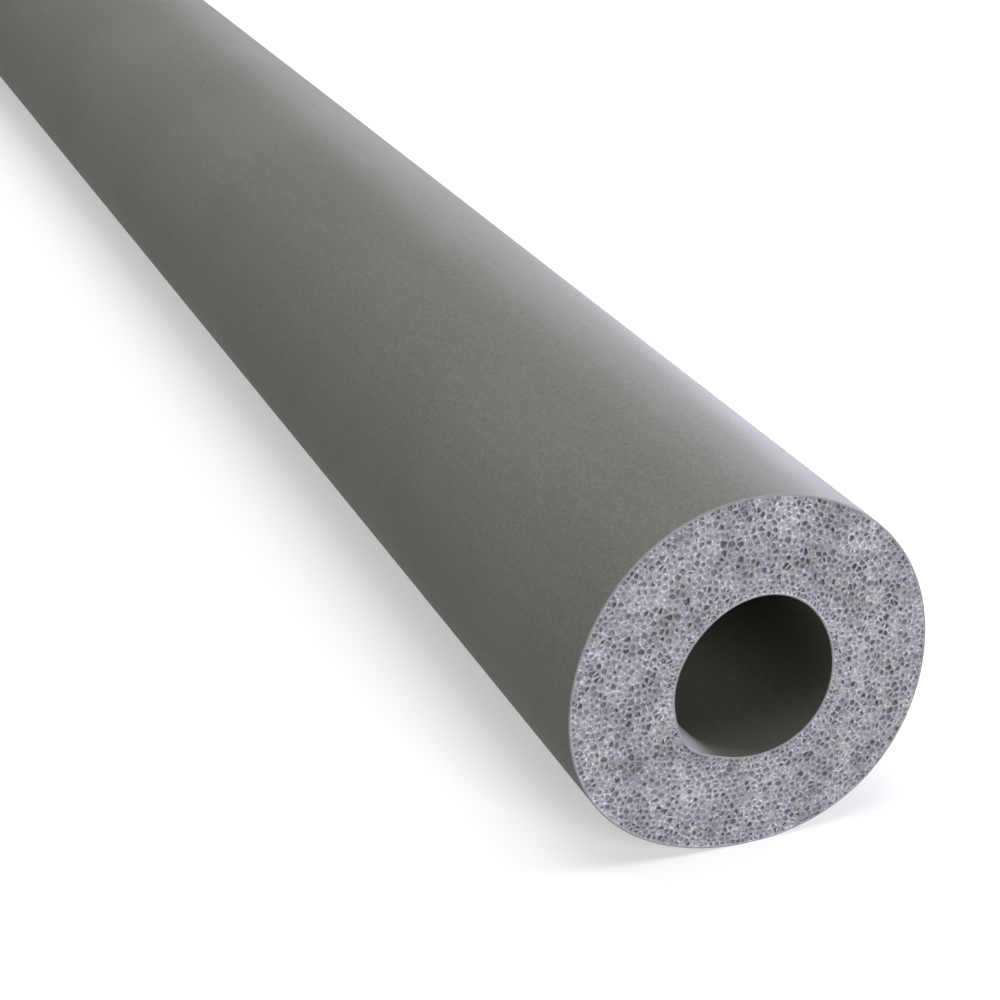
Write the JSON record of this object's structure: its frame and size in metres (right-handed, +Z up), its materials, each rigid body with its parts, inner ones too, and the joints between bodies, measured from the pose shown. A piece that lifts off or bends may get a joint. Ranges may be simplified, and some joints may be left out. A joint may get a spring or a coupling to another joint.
{
  "type": "pipe insulation tube",
  "caption": "Straight foam tube with a thick wall and a round bore, cut square at both ends, which sleeves over a pipe to insulate it.",
  "frame": {"origin": "on the floor, under the middle of the tube's length and under its bore axis", "axes": "+X along the bore, +Z up, with the tube lying on the floor"},
  "size_m": [1, 0.0478, 0.0478],
  "materials": {
    "foam": "satin"
  },
  "bodies": {
    "root": {"foam_tube": "foam"}
  },
  "joints": []
}
